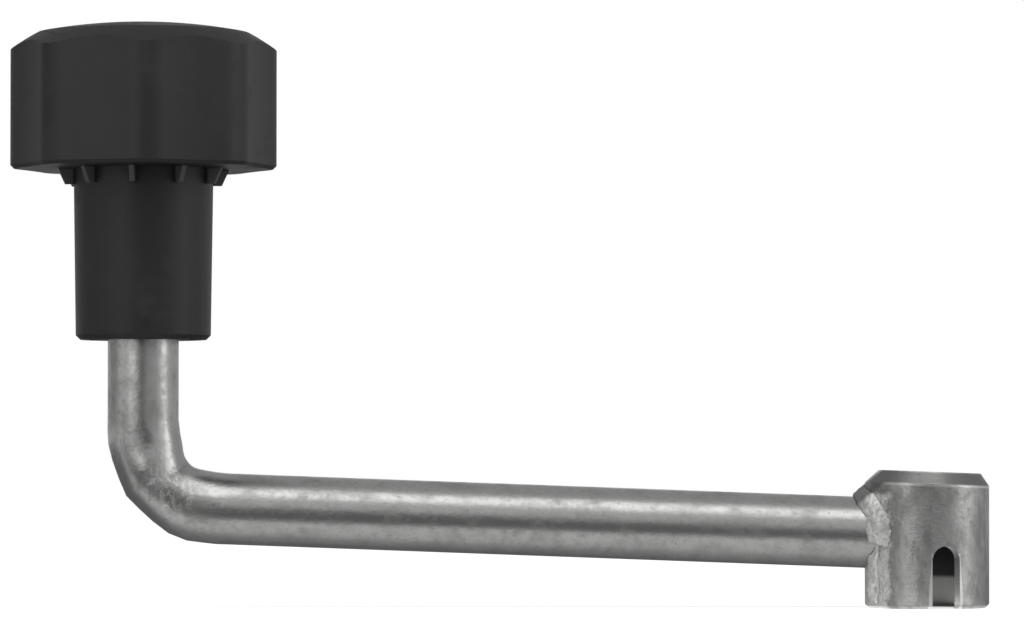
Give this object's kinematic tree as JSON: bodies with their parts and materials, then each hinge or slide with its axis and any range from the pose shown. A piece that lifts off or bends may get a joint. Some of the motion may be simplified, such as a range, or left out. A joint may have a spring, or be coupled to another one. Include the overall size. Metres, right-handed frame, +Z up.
{
  "type": "crank handle",
  "caption": "Bent steel tube crank with a round slotted socket welded to its lower end and a fluted moulded mushroom grip that turns freely on its upper end.",
  "frame": {"origin": "on the socket's axis, in the plane of the socket's mouth", "axes": "+Z up the socket's axis, parallel to the grip's axis; the arm runs from the socket towards -X; -Y is the front, where the weld's seam comes down"},
  "size_m": [0.2204, 0.0598, 0.1318],
  "materials": {
    "crank_tube": "zinc-plated steel tube, a little blotched",
    "hub_socket": "zinc-plated turned steel",
    "weld_bead": "rippled weld under zinc plating",
    "grip_retainer": "plain moulded nylon, hidden in the grip",
    "grip_body": "satin charcoal moulding with light scuffs",
    "grip_cap": "satin charcoal moulding"
  },
  "bodies": {
    "crank": {"crank_tube": "crank_tube", "hub_socket": "hub_socket", "weld_bead": "weld_bead", "grip_retainer": "grip_retainer"},
    "grip": {"grip_body": "grip_body", "grip_cap": "grip_cap"}
  },
  "joints": [
    {"name": "grip_spin", "type": "hinge", "parent": "crank", "child": "grip", "pos_m": [-0.1765, 0, 0.08], "axis": [0, 0, 1], "continuous": true}
  ]
}
